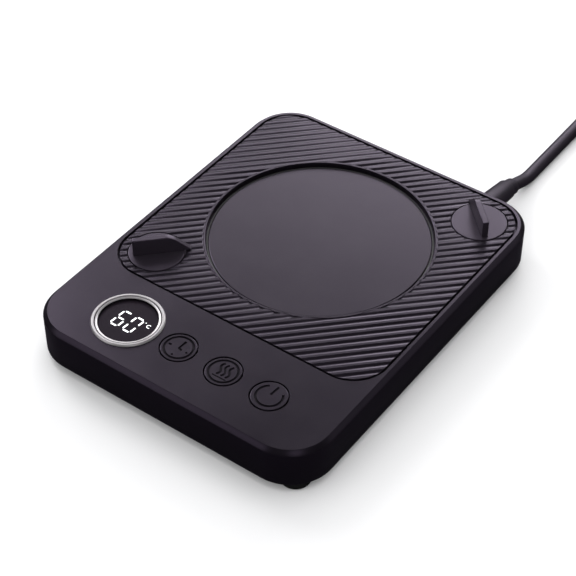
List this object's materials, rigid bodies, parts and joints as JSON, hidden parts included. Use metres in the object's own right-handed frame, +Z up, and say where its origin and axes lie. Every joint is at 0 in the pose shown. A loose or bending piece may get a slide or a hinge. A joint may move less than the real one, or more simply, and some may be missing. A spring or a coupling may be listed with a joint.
{
  "type": "electric mug warmer",
  "caption": "Flat desk-top warmer with a round sunken heating plate in a ribbed deck, a display, a row of push buttons, corner latches and a mains lead with its plug.",
  "frame": {"origin": "on the table under the middle of the casing; the free lead and its plug are left out", "axes": "+Z up, +Y from the row of buttons towards the back where the lead leaves, +X to the right seen from the front"},
  "size_m": [0.1851, 0.3196, 0.0277],
  "materials": {
    "casing_plastic": "fine satin grain",
    "deck_plastic": "satin, ribbed",
    "latch_plastic": "satin",
    "button_plastic": "satin",
    "black_plastic": "moulded, fine grain",
    "plate_coating": "baked matt black coating",
    "silicone": "matt silicone",
    "heater_film": "amber polyimide film",
    "insulation": "needled glass felt",
    "steel": "zinc plated",
    "ceramic_bead": "unglazed",
    "thermal_fuse_metal": "drawn can",
    "bright_trim": "bright plated",
    "dark_window": "smoked polycarbonate",
    "circuit_board": "green solder mask",
    "relay_plastic": "moulded",
    "fuse_body": "sleeved ceramic",
    "capacitor_sleeve": "shrink sleeve",
    "copper": "enamelled copper winding",
    "terminal_plastic": "moulded",
    "foot_rubber": "soft matt rubber",
    "lead_rubber": "extruded jacket, satin",
    "mains_insulation": "wire insulation",
    "white_insulation": "wire insulation",
    "ribbon_insulation": "flat cable",
    "tie_nylon": "hook and loop strap",
    "plug_plastic": "moulded on",
    "pin_brass": "nickel-plated brass"
  },
  "bodies": {
    "base": {"upper_housing": "casing_plastic", "floor_cover": "black_plastic", "ribbed_deck": "deck_plastic", "heating_plate": "plate_coating", "plate_seal": "silicone", "heater_film": "heater_film", "insulation_pad": "insulation", "plate_retainer": "steel", "plate_screws": "steel", "thermistor": "ceramic_bead", "thermal_fuse": "thermal_fuse_metal", "display_bezel": "bright_trim", "display_window": "dark_window", "display_module": "black_plastic", "timer_dome": "silicone", "heat_dome": "silicone", "power_dome": "silicone", "tact_switches": "black_plastic", "control_board": "circuit_board", "control_chips": "black_plastic", "buzzer": "black_plastic", "board_screws": "steel", "power_board": "circuit_board", "relay": "relay_plastic", "fuse": "fuse_body", "capacitor": "capacitor_sleeve", "choke": "copper", "terminal_block": "terminal_plastic", "power_board_screws": "steel", "rubber_feet": "foot_rubber", "case_screws": "steel", "strain_relief": "lead_rubber", "lead_end": "lead_rubber", "cord_clamp": "black_plastic", "clamp_screws": "steel", "mains_leads": "mains_insulation", "heater_leads": "white_insulation", "sensor_leads": "white_insulation", "control_ribbon": "ribbon_insulation", "power_cord": "lead_rubber", "cord_coil": "lead_rubber", "cord_tail": "lead_rubber", "cord_ties": "tie_nylon", "plug_body": "plug_plastic", "plug_pins": "pin_brass"},
    "timer_key": {"timer_button": "button_plastic"},
    "heat_key": {"heat_button": "button_plastic"},
    "power_key": {"power_button": "button_plastic"},
    "latch_left": {"left_latch": "latch_plastic", "left_cam": "black_plastic", "left_cam_screw": "steel"},
    "latch_right": {"right_latch": "latch_plastic", "right_cam": "black_plastic", "right_cam_screw": "steel"}
  },
  "joints": [
    {"name": "timer_press", "type": "slide", "parent": "base", "child": "timer_key", "axis": [0, 0, -1], "range_m": [0, 0.0006], "stiffness_N_per_m": 800, "springref_m": -0.0003, "deforming": ["timer_dome"]},
    {"name": "heat_press", "type": "slide", "parent": "base", "child": "heat_key", "axis": [0, 0, -1], "range_m": [0, 0.0006], "stiffness_N_per_m": 800, "springref_m": -0.0003, "deforming": ["heat_dome"]},
    {"name": "power_press", "type": "slide", "parent": "base", "child": "power_key", "axis": [0, 0, -1], "range_m": [0, 0.0006], "stiffness_N_per_m": 800, "springref_m": -0.0003, "deforming": ["power_dome"]},
    {"name": "left_latch_turn", "type": "hinge", "parent": "base", "child": "latch_left", "pos_m": [-0.046, -0.0248, 0.0205], "axis": [0, 0, 1], "range_deg": [0, 90]},
    {"name": "right_latch_turn", "type": "hinge", "parent": "base", "child": "latch_right", "pos_m": [0.046, 0.0635, 0.0205], "axis": [0, 0, 1], "range_deg": [-90, 0]}
  ]
}
